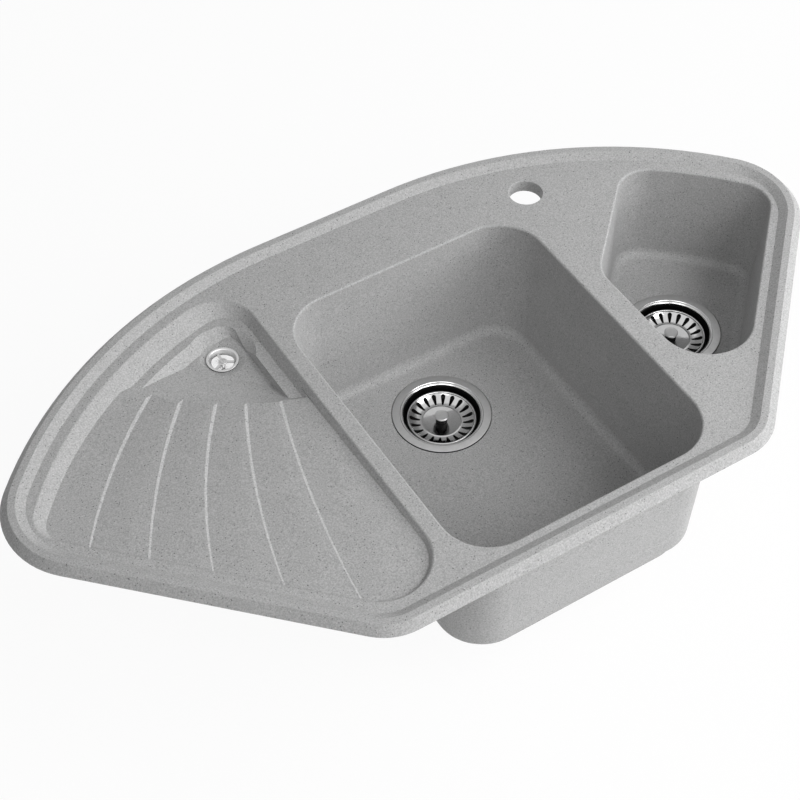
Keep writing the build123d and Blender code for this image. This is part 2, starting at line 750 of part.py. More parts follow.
def basket_stem():
    """Dark post on the disc; its shank and lower head hold disc and seal together."""
    top = -KNOB_Z - KNOB_H
    seal_base = -BASKET_DISC_Z - BASKET_T - SEAL_PLATE_T
    with BuildPart() as stem:
        with Locations((0, 0, top)):
            Cylinder(STEM_R, BASKET_DISC_Z + top, align=DOWN)
            Cylinder(STEM_SHANK_R, top - seal_base, align=DOWN)
            Cylinder(KNOB_PIN_R, KNOB_PIN_H, align=DOWN, mode=Mode.SUBTRACT)
        with Locations((0, 0, seal_base)):
            Cylinder(STEM_HEAD_R, STEM_HEAD_H, align=DOWN)
    return stem.part


def basket_knob():
    """Metal cap on the post, with the pin that holds it."""
    with BuildPart() as knob:
        with Locations((0, 0, -KNOB_Z)):
            Cylinder(KNOB_R, KNOB_H, align=DOWN)
            fillet(knob.edges().sort_by(Axis.Z)[-1], KNOB_EDGE_R)
            Cylinder(KNOB_PIN_R, KNOB_H + KNOB_PIN_H, align=DOWN)
    return knob.part


# ---- Overflow fitting ----
def overflow_rosette():
    """Steel ring with an inner wall, three spokes and the hub for its screw."""
    with BuildPart() as rosette:
        with BuildSketch(Plane.XZ):
            with BuildLine():
                Polyline(
                    (ROSETTE_R, 0),
                    (ROSETTE_R, ROSETTE_T),
                    (ROSETTE_IN_R, ROSETTE_T),
                    (ROSETTE_WALL_R, ROSETTE_T - ROSETTE_DEPTH),
                    (ROSETTE_WALL_R + ROSETTE_WALL_T, ROSETTE_T - ROSETTE_DEPTH),
                    (ROSETTE_IN_R + ROSETTE_WALL_T / 2, 0),
                    close=True,
                )
            make_face()
        revolve()
        fillet(rosette.faces().sort_by(Axis.Z)[-1].edges(), ROSETTE_EDGE_R)
        with BuildSketch(Plane.XY.offset(ROSETTE_T - ROSETTE_DEPTH)):
            Circle(ROSETTE_HUB_R)
            with PolarLocations(0, SPOKES, SPOKE_TURN):
                Rectangle(ROSETTE_WALL_R + ROSETTE_WALL_T / 2, SPOKE_W, align=(Align.MIN, Align.CENTER))
            Circle(OVER_SCREW_R + SCREW_FREE, mode=Mode.SUBTRACT)
        extrude(amount=ROSETTE_SPOKE_T)
    return rosette.part


def overflow_screw():
    """Cross-slotted screw through the hub of the rosette."""
    seat = ROSETTE_T - ROSETTE_DEPTH + ROSETTE_SPOKE_T
    with BuildPart() as screw:
        with Locations((0, 0, seat)):
            Cylinder(OVER_SCREW_HEAD_R, OVER_SCREW_HEAD_H, align=UP)
            Cylinder(OVER_SCREW_R, OVER_SCREW_L, align=DOWN)
        with Locations((0, 0, seat + OVER_SCREW_HEAD_H)):
            with PolarLocations(0, 2, 0, 90):
                Box(OVER_SLOT_L, OVER_SLOT_W, OVER_SLOT_D, align=DOWN, mode=Mode.SUBTRACT)
    return screw.part


def overflow_gasket():
    """Gasket between the underside of the pocket and the overflow body."""
    with BuildPart() as gasket:
        with BuildSketch(Plane.XY.offset(DISH_D - TRAY_T)):
            Circle(OVER_FLANGE_R)
            Circle(OVER_COLLAR_R, mode=Mode.SUBTRACT)
        extrude(amount=-OVER_GASKET_T)
    return gasket.part


def overflow_body():
    """Plastic collar with a hose spigot and the hub that takes the screw."""
    top = DISH_D - TRAY_T - OVER_GASKET_T
    neck = top - OVER_COLLAR_H
    throat = neck - OVER_CONE_H
    end = throat - OVER_SPIGOT_H
    with BuildPart() as body:
        with BuildSketch(Plane.XZ):
            with BuildLine():
                Polyline(
                    (OVER_COLLAR_R, top),
                    (OVER_FLANGE_R, top),
                    (OVER_FLANGE_R, top - OVER_FLANGE_T),
                    (OVER_COLLAR_R + OVER_WALL_T, top - OVER_FLANGE_T),
                    (OVER_COLLAR_R + OVER_WALL_T, neck),
                    (OVER_BORE_R + OVER_WALL_T, throat),
                    (OVER_BORE_R + OVER_WALL_T, end),
                    (OVER_BORE_R, end),
                    (OVER_BORE_R, throat),
                    (OVER_COLLAR_R, neck),
                    close=True,
                )
            make_face()
        revolve()
        with Locations((0, 0, top)):
            Cylinder(OVER_HUB_R, OVER_HUB_H, align=DOWN)
        with BuildSketch(Plane.XY.offset(top - OVER_HUB_H + OVER_ARM_H)):
            with PolarLocations(0, SPOKES, SPOKE_TURN):
                Rectangle(OVER_COLLAR_R + OVER_WALL_T / 2, SPOKE_W, align=(Align.MIN, Align.CENTER))
        extrude(amount=-OVER_ARM_H)
        Cylinder(OVER_SCREW_R, 4 * OVER_SCREW_L, mode=Mode.SUBTRACT)
    return body.part


# ---- The wastes of both bowls ----
wastes = {"main": (*MAIN_DRAIN, MAIN_DRAIN_Z), "side": (*SIDE_DRAIN, SIDE_DRAIN_Z)}
waste_pieces = {
    "strainer_cup": strainer_cup,
    "flange_gasket": flange_gasket,
    "lower_gasket": lower_gasket,
    "waste_body": waste_body,
    "basket": basket,
    "basket_seal": basket_seal,
    "basket_stem": basket_stem,
    "basket_knob": basket_knob,
}
for bowl, spot in wastes.items():
    for piece, form in waste_pieces.items():
        with BuildPart() as placed:
            with Locations(spot):
                add(form())
        placed.part.label = f"{bowl}_{piece}"
        export_step(placed.part, f"parts/{bowl}_{piece}.step")

for piece, form in {"fixing_screws": fixing_screw, "fixing_nuts": fixing_nut}.items():
    with BuildPart() as placed:
        with Locations(*wastes.values()):
            add(form())
    placed.part.label = piece
    export_step(placed.part, f"parts/{piece}.step")

# ---- The overflow fitting in the pocket ----
overflow_pieces = {
    "overflow_rosette": overflow_rosette,
    "overflow_screw": overflow_screw,
    "overflow_gasket": overflow_gasket,
    "overflow_body": overflow_body,
}
for piece, form in overflow_pieces.items():
    with BuildPart() as placed:
        with Locations((*OVERFLOW, POCKET_Z - DISH_D)):
            add(form())
    placed.part.label = piece
    export_step(placed.part, f"parts/{piece}.step")
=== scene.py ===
import bmesh
import bpy
import math
from mathutils import Matrix, Vector


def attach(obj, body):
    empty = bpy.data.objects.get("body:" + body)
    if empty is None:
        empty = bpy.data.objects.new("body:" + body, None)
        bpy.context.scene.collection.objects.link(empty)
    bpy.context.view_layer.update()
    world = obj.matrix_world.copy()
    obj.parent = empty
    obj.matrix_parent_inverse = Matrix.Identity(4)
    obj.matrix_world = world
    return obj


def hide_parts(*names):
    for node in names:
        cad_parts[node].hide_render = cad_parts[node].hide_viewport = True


# Corner kitchen sink: the camera, the materials, fine pieces in the place of some CAD nodes, and the
# floor, world and lamps. The fine pieces are drawn in millimetres, and all else is in metres.
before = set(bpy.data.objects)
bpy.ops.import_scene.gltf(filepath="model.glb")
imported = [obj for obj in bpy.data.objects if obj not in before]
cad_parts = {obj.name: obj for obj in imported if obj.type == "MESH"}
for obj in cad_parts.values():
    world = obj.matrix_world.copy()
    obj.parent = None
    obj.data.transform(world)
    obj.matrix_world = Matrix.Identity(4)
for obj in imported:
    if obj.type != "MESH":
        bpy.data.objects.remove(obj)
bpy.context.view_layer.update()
MM = 0.001

# Places of the fine pieces in the row frame, in millimetres
MAIN_DRAIN = Vector((-178.8, -108.8, -160.0))
SIDE_DRAIN = Vector((96.8, -167.0, -126.0))
OVERFLOW = Vector((-401.5, -23.0, -20.6))


# ---- Camera ----
CAMERA_PLACE = Vector((-0.9316, -1.2132, 1.4219))
YAW = math.radians(32.26)
PITCH = math.radians(49.42)
ROLL = math.radians(0.28)
FOCAL_PX = 1837.47
IMAGE_PX = 800
SENSOR = 36.0

forward = Vector((math.sin(YAW) * math.cos(PITCH), math.cos(YAW) * math.cos(PITCH), -math.sin(PITCH)))
right = forward.cross(Vector((0, 0, 1))).normalized()
up = right.cross(forward)
right_rolled = right * math.cos(ROLL) + up * math.sin(ROLL)
up_rolled = up * math.cos(ROLL) - right * math.sin(ROLL)
turn = Matrix((right_rolled, up_rolled, -forward)).transposed()
camera_data = bpy.data.cameras.new("camera")
camera_data.sensor_width = SENSOR
camera_data.lens = FOCAL_PX / IMAGE_PX * SENSOR
camera_data.clip_start = 0.05
camera_data.clip_end = 50.0
camera = bpy.data.objects.new("camera", camera_data)
camera.matrix_world = Matrix.Translation(CAMERA_PLACE) @ turn.to_4x4()
bpy.context.scene.collection.objects.link(camera)
bpy.context.scene.camera = camera
bpy.context.scene.view_settings.view_transform = "Standard"


# ---- Node materials ----
GRAIN_CORE = 0.55  # full-strength middle of a grain, as a share of its size
FAINTEST_GRAIN = 0.35


class Graph:
    """A node material in the making: a principled shader and shorthand for the nodes before it."""

    def __init__(self, name, **inputs):
        self.material = bpy.data.materials.new(name)
        self.material.use_nodes = True
        self.tree = self.material.node_tree
        self.shader = self.tree.nodes["Principled BSDF"]
        self.set(self.shader, inputs)
        self.place = self.node("ShaderNodeTexCoord").outputs["Object"]

    def set(self, node, inputs):
        """Links or sets a node's inputs, by name with _ for a space, or by number."""
        for key, value in inputs.items():
            socket = node.inputs[key.replace("_", " ")] if isinstance(key, str) else node.inputs[key]
            if isinstance(value, bpy.types.NodeSocket):
                self.tree.links.new(value, socket)
            elif isinstance(value, (int, float)) and socket.type == "RGBA":
                socket.default_value = (value, value, value, 1.0)
            elif socket.type == "RGBA" and len(value) == 3:
                socket.default_value = (*value, 1.0)
            else:
                socket.default_value = value

    def node(self, kind, inputs=None, **settings):
        made = self.tree.nodes.new(kind)
        for key, value in settings.items():
            setattr(made, key, value)
        self.set(made, inputs or {})
        return made

    def noise(self, scale, detail=2.0, rough=0.5):
        inputs = {"Vector": self.place, "Scale": scale, "Detail": detail, "Roughness": rough}
        return self.node("ShaderNodeTexNoise", inputs).outputs["Fac"]

    def math(self, operation, a, b=0.0):
        return self.node("ShaderNodeMath", {0: a, 1: b}, operation=operation).outputs[0]

    def spread(self, value, low, high, out_low=0.0, out_high=1.0):
        """Value from low to high, mapped to out_low to out_high."""
        inputs = {"Value": value, "From_Min": low, "From_Max": high, "To_Min": out_low, "To_Max": out_high}
        return self.node("ShaderNodeMapRange", inputs).outputs["Result"]

    def mix(self, share, a, b):
        made = self.node("ShaderNodeMix", data_type="RGBA")
        self.set(made, {0: share, 6: a, 7: b})
        return made.outputs[2]

    def specks(self, scale, size, share, seed):
        """1 in small round grains, 0 between them; share of the cells have a grain."""
        shifted = self.node("ShaderNodeVectorMath", {0: self.place, 1: (seed, seed, seed)}, operation="ADD")
        cells = self.node(
            "ShaderNodeTexVoronoi", {"Vector": shifted.outputs[0], "Scale": scale, "Randomness": 1.0}
        )
        grain = self.spread(cells.outputs["Distance"], size, size * GRAIN_CORE)
        pick = self.node("ShaderNodeSeparateColor", {"Color": cells.outputs["Color"]})
        chosen = self.math("LESS_THAN", pick.outputs[0], share)
        depth = self.spread(pick.outputs[1], 0.0, 1.0, FAINTEST_GRAIN, 1.0)
        return self.math("MULTIPLY", self.math("MULTIPLY", grain, chosen), depth)

    def bump(self, height, distance, strength):
        inputs = {"Height": height, "Distance": distance, "Strength": strength}
        return self.node("ShaderNodeBump", inputs).outputs["Normal"]

    def rings(self):
        """Distance from the piece's own axis."""
        flat = self.node("ShaderNodeVectorMath", {0: self.place, 1: (1.0, 1.0, 0.0)}, operation="MULTIPLY")
        length = self.node("ShaderNodeVectorMath", {0: flat.outputs[0]}, operation="LENGTH")
        return length.outputs["Value"]

    def finish(self, **inputs):
        self.set(self.shader, inputs)
        return self.material


# Tones of the composite's matrix
CLOUD_TONES = (0.39, 0.425)
FINE_TONES = (0.31, 0.60)

# Grains of the composite: cells for each metre, size in the cell, share of the cells, seed, strength, tone
GRAINS = (
    (330.0, 0.25, 0.5, 0.0, 0.85, 0.06),  # fine dark
    (170.0, 0.15, 0.3, 3.7, 0.9, 0.05),  # large dark
    (400.0, 0.27, 0.3, 8.1, 0.7, 0.72),  # pale
)


def composite():
    """Grey quartz composite: cloudy matrix, fine dark grains, few pale ones, a dry satin skin."""
    g = Graph("composite", Specular_IOR_Level=0.35)
    cloud = g.spread(g.noise(45.0, 4.0), 0.35, 0.65)
    matrix = g.mix(cloud, *CLOUD_TONES)
    fine = g.spread(g.noise(640.0, 2.0, 0.6), 0.38, 0.62)
    matrix = g.mix(fine, *(g.mix(0.5, matrix, tone) for tone in FINE_TONES))
    for scale, size, share, seed, strength, tone in GRAINS:
        grain = g.specks(scale, size, share, seed)
        matrix = g.mix(g.math("MULTIPLY", grain, strength), matrix, tone)
    rough = g.spread(g.noise(300.0, 3.0), 0.3, 0.7, 0.46, 0.6)
    pits = g.bump(g.noise(900.0, 3.0, 0.6), 0.0002, 0.35)
    return g.finish(Base_Color=matrix, Roughness=rough, Normal=pits)


STAIN_DEPTH = 0.35
STAIN_TONE = 0.8
RING_SHARE, STAIN_SHARE = 0.6, 0.4  # of the variation in roughness


def steel(name, colour, rough_low, rough_high, ring_scale, ring_depth):
    """Stainless steel with turned rings and a little staining."""
    g = Graph(name, Metallic=1.0)
    turned = g.node(
        "ShaderNodeTexNoise", {"W": g.rings(), "Scale": ring_scale, "Detail": 2.0}, noise_dimensions="1D"
    ).outputs["Fac"]
    stain = g.spread(g.noise(120.0, 4.0, 0.6), 0.35, 0.7)
    tone = g.mix(g.math("MULTIPLY", stain, STAIN_DEPTH), colour, colour * STAIN_TONE)
    wear = g.math("ADD", g.math("MULTIPLY", turned, RING_SHARE), g.math("MULTIPLY", stain, STAIN_SHARE))
    rough = g.spread(wear, 0.3, 0.7, rough_low, rough_high)
    return g.finish(Base_Color=tone, Roughness=rough, Normal=g.bump(turned, ring_depth, 0.5))


CLOUD_SHADE = 0.86  # darker clouds in a plastic


def plastic(name, colour, rough_low, rough_high, grain, depth, **extra):
    """Moulded plastic or rubber with a fine grain."""
    g = Graph(name, **extra)
    shade = tuple(channel * CLOUD_SHADE for channel in colour)
    tone = g.mix(g.spread(g.noise(60.0, 3.0), 0.3, 0.7), colour, shade)
    rough = g.spread(g.noise(grain * 0.4, 2.0), 0.3, 0.7, rough_low, rough_high)
    return g.finish(Base_Color=tone, Roughness=rough, Normal=g.bump(g.noise(grain, 2.0), depth, 0.4))


COMPOSITE = composite()
FLANGE_STEEL = steel("flange_steel", 0.52, 0.36, 0.48, 900.0, 0.00002)
BRIGHT_STEEL = steel("bright_steel", 0.62, 0.10, 0.20, 500.0, 0.00001)
DISC_STEEL = steel("disc_steel", 0.5, 0.06, 0.13, 400.0, 0.000004)
# Near-black steel: painted shade inside the cups, and a painted shadow on the rosette's outer edge
PAINTED_SHADE_STEEL = steel("painted_shade_steel", 0.02, 0.4, 0.55, 500.0, 0.00002)
SCREW_STEEL = steel("screw_steel", 0.5, 0.32, 0.46, 1500.0, 0.00003)
SATIN_STEEL = steel("satin_steel", 0.55, 0.30, 0.42, 700.0, 0.00001)
RUBBER = plastic("rubber", (0.018, 0.018, 0.019), 0.55, 0.75, 1500.0, 0.0001)
BLACK_PLASTIC = plastic(
    "black_plastic", (0.003, 0.003, 0.0033), 0.4, 0.55, 1200.0, 0.00005, Specular_IOR_Level=0.08
)
WHITE_PLASTIC = plastic(
    "white_plastic", (0.86, 0.86, 0.85), 0.35, 0.5, 900.0, 0.00005,
    Subsurface_Weight=0.4, Subsurface_Scale=0.004,
)
MILKY_PLASTIC = plastic(
    "milky_plastic", (1.0, 1.0, 1.0), 0.12, 0.25, 900.0, 0.00002, Transmission_Weight=0.95, IOR=1.1
)


def dress(node, material):
    """Gives a CAD node its material."""
    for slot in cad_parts[node].material_slots:
        slot.link = "OBJECT"
        slot.material = material


# ---- Mesh helpers ----
NEARLY_STRAIGHT = math.radians(176)
LONGEST_CUT = 0.49  # of a side, by the rounding at one of its ends
SHARP = math.radians(32.0)  # edges sharper than this stay sharp
ROUND = 144  # facets of a turned piece


def around(k, count):
    """Angle of step k of a full turn in count steps."""
    return 2 * math.pi * k / count


def soften(points, radius, steps=5):
    """Closed outline with its corners rounded; radius is one number or one for each point."""
    made = []
    for i, point in enumerate(points):
        r = radius[i] if isinstance(radius, (list, tuple)) else radius
        here = Vector(point)
        back = Vector(points[i - 1]) - here
        ahead = Vector(points[(i + 1) % len(points)]) - here
        if r <= 0 or back.angle(ahead) > NEARLY_STRAIGHT:
            made.append(here)
            continue
        cut = min(r / math.tan(back.angle(ahead) / 2), LONGEST_CUT * back.length, LONGEST_CUT * ahead.length)
        start, stop = here + back.normalized() * cut, here + ahead.normalized() * cut
        for k in range(steps + 1):
            t = k / steps
            made.append((1 - t) ** 2 * start + 2 * t * (1 - t) * here + t**2 * stop)
    return made


def add_piece(name, mesh, place, body, material, replaced):
    """Puts a mesh in the place of CAD nodes, riding on a body; a mesh with coats of its own keeps them."""
    if not mesh.materials:
        mesh.materials.append(material)
    for face in mesh.polygons:
        face.use_smooth = True
    mesh.set_sharp_from_angle(angle=SHARP)
    piece = bpy.data.objects.new(name, mesh)
    bpy.context.scene.collection.objects.link(piece)
    piece.location = place * MM
    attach(piece, body)
    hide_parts(*replaced)


def ring_into(bm, r, z, segments):
    """Adds a level ring of vertices to a bmesh, or a single one on the axis."""
    if r < 1e-6:
        return [bm.verts.new((0, 0, z * MM))]
    return [
        bm.verts.new((r * MM * math.cos(around(k, segments)), r * MM * math.sin(around(k, segments)), z * MM))
        for k in range(segments)
    ]


def lathe_into(bm, outline, segments=ROUND, number=None):
    """Adds a closed outline of (radius, height) points, turned round Z, to a bmesh.

    number(a, b) gives the coat number of the side from point a to point b.
    """
    rings = [ring_into(bm, r, z, segments) for r, z in outline]
    for i, low in enumerate(rings):
        following = (i + 1) % len(rings)
        high = rings[following]
        if len(low) == 1 and len(high) == 1:
            continue
        coat = number(outline[i], outline[following]) if number else 0
        for k in range(segments):
            n = (k + 1) % segments
            if len(low) == 1:
                corners = (low[0], high[n], high[k])
            elif len(high) == 1:
                corners = (low[k], low[n], high[0])
            else:
                corners = (low[k], low[n], high[n], high[k])
            bm.faces.new(corners).material_index = coat


def block_into(bm, low, high, turn_deg):
    """Adds a box between two corners, turned round Z, to a bmesh; returns its vertices."""
    made = bmesh.ops.create_cube(bm, size=1.0)["verts"]
    low, high = Vector(low) * MM, Vector(high) * MM
    spin = Matrix.Rotation(math.radians(turn_deg), 4, "Z")
    for v in made:
        v.co = spin @ Vector(((v.co[i] + 0.5) * (high[i] - low[i]) + low[i] for i in range(3)))
    return made


def to_mesh(bm, name, coats=()):
    """Mesh of a bmesh, with the materials that its faces' coat numbers pick from."""
    bmesh.ops.recalc_face_normals(bm, faces=bm.faces)
    mesh = bpy.data.meshes.new(name)
    bm.to_mesh(mesh)
    bm.free()
    for coat in coats:
        mesh.materials.append(coat)
    return mesh


def lathe(name, outline, segments=ROUND, number=None, coats=()):
    """Mesh of a closed outline turned round Z."""
    bm = bmesh.new()
    lathe_into(bm, outline, segments, number)
    return to_mesh(bm, name, coats)


def carve(mesh, cutter):
    """Mesh less the cutter mesh; both are closed."""
    holder = bpy.data.objects.new("holder", mesh)
    tool = bpy.data.objects.new("tool", cutter)
    for one in (holder, tool):
        bpy.context.scene.collection.objects.link(one)
    step = holder.modifiers.new("carve", "BOOLEAN")
    step.operation, step.solver, step.object = "DIFFERENCE", "EXACT", tool
    view = bpy.context.evaluated_depsgraph_get()
    made = bpy.data.meshes.new_from_object(holder.evaluated_get(view))
    for one in (holder, tool):
        bpy.data.objects.remove(one)
    made.name = mesh.name
    return made


def holes(radius, ring, count, low, high, segments=32):
    """Round cutters on a ring."""
    bm = bmesh.new()
    for k in range(count):
        part = bmesh.new()
        lathe_into(part, [(0, low), (radius, low), (radius, high), (0, high)], segments)
        away = Vector((math.cos(around(k, count)), math.sin(around(k, count)), 0)) * ring * MM
        bmesh.ops.translate(part, verts=part.verts, vec=away)
        cutter = to_mesh(part, "part")
        bm.from_mesh(cutter)
        bpy.data.meshes.remove(cutter)
    return to_mesh(bm, "holes")


# ---- Strainer wastes, levels under the flange top ----
SCREW_BORE = 3.25
POST_BORE = 3.4

FLAT_IN = 47.4  # inner edge of the flange's flat
GROOVE = (45.2, 46.6, -0.79)  # radii and lowest level of the flat between the two bright folds
# Above this level the folds get the brighter steel, a painted highlight; below it the inside gets near-black
# steel, painted shade
FOLDS_END = -2.2
OUTLET_HOLE_R, OUTLET_RING, OUTLET_HOLES = 3.8, 13.0, 6
OUTLET_CUT = (-24.0, -18.0)  # lowest and highest level of the cutters

SLOTS = 20
SLOT_IN, SLOT_OUT = 24.2, 36.6
SLOT_IN_W, SLOT_OUT_W = 2.2, 5.2
SLOT_CUT = (-18.0, -6.0)
SLOT_END = 8  # facets of a slot's round end

BEAD_R, BEAD_AT = 1.3, (38.2, -8.3)  # rolled rim of the basket
WALL_TOP, WALL_FOOT = (37.6, -8.7), (23.4, -13.9)  # slotted wall
WALL_SAG = 1.35
WALL_STEPS = 10
BASKET_T = 0.7
DISC_R = 22.7


def cup_mesh(name):
    """Flange, folded lip, cup and its dimple, with a painted highlight on the folds and painted shade inside.
    """
    points = [
        (56.0, -0.8), (56.0, 0.0), (47.3, 0.0), (46.7, -0.55), (44.9, -0.75), (43.8, -1.7), (43.4, -3.2),
        (42.9, -9.0), (41.5, -20.0), (7.2, -20.0), (6.8, -22.6), (SCREW_BORE, -22.6), (SCREW_BORE, -23.4),
        (8.0, -23.4), (8.2, -20.8), (42.3, -20.8), (44.1, -4.0), (46.8, -0.8),
    ]
    radii = [0.3, 0.5, 0.5, 0.4, 0.8, 0.6, 0.8, 0, 4.0, 0.8, 0.6, 0.1, 0.1, 0.5, 0.8, 4.4, 1.0, 0.8]

    def number(a, b):
        r, z = (a[0] + b[0]) / 2, (a[1] + b[1]) / 2
        if r > FLAT_IN or (GROOVE[0] < r < GROOVE[1] and z > GROOVE[2]):
            return 0
        # Coat 1 on the folds is a painted highlight, coat 2 inside is painted shade
        return 1 if z > FOLDS_END else 2

    base = lathe(name, soften(points, radii, 6), 192, number, (FLANGE_STEEL, BRIGHT_STEEL, PAINTED_SHADE_STEEL))
    return carve(base, holes(OUTLET_HOLE_R, OUTLET_RING, OUTLET_HOLES, *OUTLET_CUT))


def slot_cutter():
    """Tapered slots with round ends, on a ring."""
    ends = (
        (SLOT_OUT - SLOT_OUT_W / 2, SLOT_OUT_W / 2, -90),
        (SLOT_IN + SLOT_IN_W / 2, SLOT_IN_W / 2, 90),
    )
    outline = []
    for centre, radius, first in ends:
        for s in range(SLOT_END + 1):
            a = math.radians(first + s * 180 / SLOT_END)
            outline.append((centre + radius * math.cos(a), radius * math.sin(a)))
    bm = bmesh.new()
    for k in range(SLOTS):
        c, s = math.cos(around(k, SLOTS)), math.sin(around(k, SLOTS))
        low, high = (
            [bm.verts.new(((x * c - y * s) * MM, (x * s + y * c) * MM, z * MM)) for x, y in outline]
            for z in SLOT_CUT
        )
        bm.faces.new(low[::-1])
        bm.faces.new(high)
        for i in range(len(outline)):
            n = (i + 1) % len(outline)
            bm.faces.new((low[i], low[n], high[n], high[i]))
    return to_mesh(bm, "slots")


def basket_mesh(name):
    """Satin rolled rim, bright hollow slotted wall, and a soft step to the polished disc."""
    wall = []
    for k in range(WALL_STEPS + 1):
        t = k / WALL_STEPS
        r, z = (top + (foot - top) * t for top, foot in zip(WALL_TOP, WALL_FOOT))
        wall.append((r, z - WALL_SAG * 4 * t * (1 - t)))
    step = [(22.6, -13.95), (22.2, -13.75), (21.4, -13.75), (20.9, -13.95), (POST_BORE, -13.95)]
    under = [(POST_BORE, -14.65), (22.6, -14.65)] + [(r, z - BASKET_T) for r, z in reversed(wall)]
    bead = [
        (BEAD_AT[0] + BEAD_R * math.cos(math.radians(a)), BEAD_AT[1] + BEAD_R * math.sin(math.radians(a)))
        for a in range(-80, 231, 15)
    ]

    def number(a, b):
        r = max(a[0], b[0])
        if r < DISC_R:
            return 1
        return 2 if r > WALL_TOP[0] + 0.1 else 0

    solid = lathe(name, bead + wall + step + under, 240, number, (BRIGHT_STEEL, DISC_STEEL, SATIN_STEEL))
    return carve(solid, slot_cutter())


def seal_mesh(name):
    """Ribbed rubber under the disc."""
    points = [
        (POST_BORE, -14.7), (22.0, -14.7), (22.0, -16.6), (21.3, -17.1), (22.0, -17.6), (22.0, -19.9),
        (18.2, -19.9), (18.6, -17.1), (POST_BORE, -17.1),
    ]
    return lathe(name, soften(points, 0.35, 4), segments=128)


def stem_mesh(name):
    """Post below the cap, with a foot on the disc, and the head below the seal."""
    points = [
        (0, -5.7), (5.6, -5.7), (6.0, -6.4), (6.0, -12.6), (6.6, -14.0), (3.3, -14.0), (3.3, -17.1),
        (9.0, -17.1), (9.0, -18.7), (0, -18.7),
    ]
    return lathe(name, soften(points, [0, 0.5, 0.5, 0.4, 0.1, 0, 0, 0.1, 0.5, 0], 4), segments=96)


def knob_mesh(name):
    """Turned cap with a raised edge and a very shallow hollow."""
    points = [(0, -3.72), (5.8, -3.68), (6.9, -3.5), (7.7, -4.0), (7.7, -5.4), (7.3, -5.7), (0, -5.7)]
    return lathe(name, soften(points, [0, 0.8, 0.35, 0.3, 0.2, 0.1, 0], 4), segments=96)


SCREW_NECK = 1.0  # plain shank under the head
SCREW_TIP = 1.2  # plain end of the shank
SCREW_TIP_IN = 0.6


def screw_mesh(name, head_r, head_h, shank_r, length, pitch, turns, slot_l, slot_w, slot_deep):
    """Screw with a domed head at level 0, a slot across it at each of the turns, and a threaded shank."""
    profile = [
        (0, head_h), (head_r * 0.7, head_h), (head_r * 0.93, head_h * 0.7), (head_r, head_h * 0.3),
        (head_r, 0), (shank_r, 0), (shank_r, -SCREW_NECK),
    ]
    z = -SCREW_NECK
    while z > SCREW_TIP - length:
        profile += [
            (shank_r, z - pitch * 0.1), (shank_r - pitch * 0.45, z - pitch * 0.5), (shank_r, z - pitch * 0.9)
        ]
        z -= pitch
    profile += [(shank_r - SCREW_TIP_IN, -length), (0, -length)]
    screw = lathe(name, profile, segments=64)
    for turn_deg in turns:
        bm = bmesh.new()
        low = (-slot_l / 2, -slot_w / 2, head_h - slot_deep)
        block_into(bm, low, (slot_l / 2, slot_w / 2, head_h + 1), turn_deg)
        screw = carve(screw, to_mesh(bm, "slot"))
    return screw


# ---- Waste bodies, levels under the flange top ----
WASTE_FACETS = 120
FUNNEL = (
    (54.0, -16.5), (54.0, -20.5), (49.5, -20.5), (49.5, -26.0), (25.2, -45.2), (25.2, -46.0), (22.6, -46.0),
    (22.6, -45.0), (46.0, -26.0), (46.0, -16.5),
)
FUNNEL_RADII = (0.4, 0.8, 1.0, 2.5, 1.5, 0.2, 0.1, 1.0, 2.0, 0.2)
THREAD_TOP, THREAD_END = -46.0, -66.0
THREAD_R, THREAD_PITCH, THREAD_DEPTH = 23.9, 2.309, 1.15
THREAD_RINGS = 8  # rings of the mesh in one turn
THREAD_FLANK = 2.6  # steepness of the valley
RUN_IN, RUN_OUT = 1.2, 1.6  # lengths over which the thread begins and fades
TIP_BEVEL = 0.7
TIP_ZONE = -60.0
OUTLET_BORE = 20.4
HUB_RIBS, FUNNEL_RIBS = 4, 8
RIB_BEND = 30.0  # corners of a funnel rib below this level and outside this radius are drawn in
RIB_FOOT_R = 26.5


def thread_radius(z, turned):
    """Radius of the outlet's thread at a level and at a share of the full turn."""
    fade = max(min(1.0, (z - THREAD_END) / RUN_OUT, (THREAD_TOP - z) / RUN_IN), 0.0)
    phase = ((THREAD_TOP - z) / THREAD_PITCH - turned) % 1.0
    valley = min(1.0, max(0.0, 1.0 - abs(phase - 0.5) * THREAD_FLANK))
    return THREAD_R - THREAD_DEPTH * valley * fade - TIP_BEVEL * (1 - fade) * (z < TIP_ZONE)


